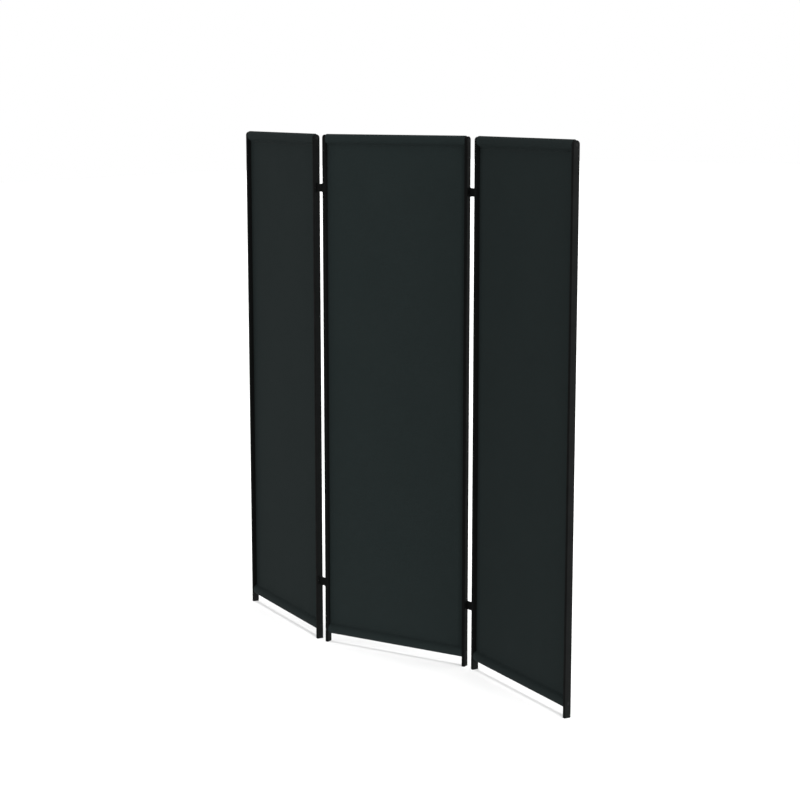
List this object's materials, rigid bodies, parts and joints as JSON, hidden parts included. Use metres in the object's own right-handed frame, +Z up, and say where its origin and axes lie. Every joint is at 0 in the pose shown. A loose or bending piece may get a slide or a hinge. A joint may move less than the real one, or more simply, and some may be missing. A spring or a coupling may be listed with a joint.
{
  "type": "folding room divider screen",
  "caption": "Free-standing folding screen: tall cloth panels on slim steel posts, joined by double-action link hinges so that each outer panel folds flat.",
  "frame": {"origin": "on the floor under the middle of the middle panel, the centre of the standing screen", "axes": "+Z up; +X along the middle panel, left to right seen from the front; -Y is the front"},
  "size_m": [1.6812, 0.6236, 1.8498],
  "materials": {
    "coated_steel": "fine black powder coat, satin to matt",
    "cloth": "plain-woven polyester, charcoal with a slight blue-green tint, matt",
    "moulded_plastic": "moulded black polypropylene, fine texture",
    "zinc_plated_steel": "zinc plated, inside the posts"
  },
  "bodies": {
    "middle_panel": {"middle_left_post": "coated_steel", "middle_left_post_cap": "coated_steel", "middle_left_foot_glide": "moulded_plastic", "middle_right_post": "coated_steel", "middle_right_post_cap": "coated_steel", "middle_right_foot_glide": "moulded_plastic", "middle_top_rail": "coated_steel", "middle_top_left_rail_bolt": "zinc_plated_steel", "middle_top_right_rail_bolt": "zinc_plated_steel", "middle_bottom_rail": "coated_steel", "middle_bottom_left_rail_bolt": "zinc_plated_steel", "middle_bottom_right_rail_bolt": "zinc_plated_steel", "middle_cloth": "cloth", "left_upper_hinge_inner_leaf": "coated_steel", "left_upper_hinge_inner_pin": "coated_steel", "left_lower_hinge_inner_leaf": "coated_steel", "left_lower_hinge_inner_pin": "coated_steel", "right_upper_hinge_inner_leaf": "coated_steel", "right_upper_hinge_inner_pin": "coated_steel", "right_lower_hinge_inner_leaf": "coated_steel", "right_lower_hinge_inner_pin": "coated_steel"},
    "left_links": {"left_upper_hinge_link": "coated_steel", "left_lower_hinge_link": "coated_steel"},
    "left_panel": {"left_left_post": "coated_steel", "left_left_post_cap": "coated_steel", "left_left_foot_glide": "moulded_plastic", "left_right_post": "coated_steel", "left_right_post_cap": "coated_steel", "left_right_foot_glide": "moulded_plastic", "left_top_rail": "coated_steel", "left_top_left_rail_bolt": "zinc_plated_steel", "left_top_right_rail_bolt": "zinc_plated_steel", "left_bottom_rail": "coated_steel", "left_bottom_left_rail_bolt": "zinc_plated_steel", "left_bottom_right_rail_bolt": "zinc_plated_steel", "left_cloth": "cloth", "left_upper_hinge_outer_leaf": "coated_steel", "left_upper_hinge_outer_pin": "coated_steel", "left_lower_hinge_outer_leaf": "coated_steel", "left_lower_hinge_outer_pin": "coated_steel"},
    "right_links": {"right_upper_hinge_link": "coated_steel", "right_lower_hinge_link": "coated_steel"},
    "right_panel": {"right_left_post": "coated_steel", "right_left_post_cap": "coated_steel", "right_left_foot_glide": "moulded_plastic", "right_right_post": "coated_steel", "right_right_post_cap": "coated_steel", "right_right_foot_glide": "moulded_plastic", "right_top_rail": "coated_steel", "right_top_left_rail_bolt": "zinc_plated_steel", "right_top_right_rail_bolt": "zinc_plated_steel", "right_bottom_rail": "coated_steel", "right_bottom_left_rail_bolt": "zinc_plated_steel", "right_bottom_right_rail_bolt": "zinc_plated_steel", "right_cloth": "cloth", "right_upper_hinge_outer_leaf": "coated_steel", "right_upper_hinge_outer_pin": "coated_steel", "right_lower_hinge_outer_leaf": "coated_steel", "right_lower_hinge_outer_pin": "coated_steel"}
  },
  "joints": [
    {"name": "left_inner_hinge", "type": "hinge", "parent": "middle_panel", "child": "left_links", "pos_m": [-0.2985, 0, 0], "axis": [0, 0, -1], "range_deg": [-60, 75]},
    {"name": "left_outer_hinge", "type": "hinge", "parent": "left_links", "child": "left_panel", "pos_m": [-0.32361, 0.00673, 0], "axis": [0, 0, -1], "range_deg": [-60, 75]},
    {"name": "right_inner_hinge", "type": "hinge", "parent": "middle_panel", "child": "right_links", "pos_m": [0.2985, 0, 0], "axis": [0, 0, -1], "range_deg": [-60, 75]},
    {"name": "right_outer_hinge", "type": "hinge", "parent": "right_links", "child": "right_panel", "pos_m": [0.32361, -0.00673, 0], "axis": [0, 0, -1], "range_deg": [-60, 75]}
  ]
}
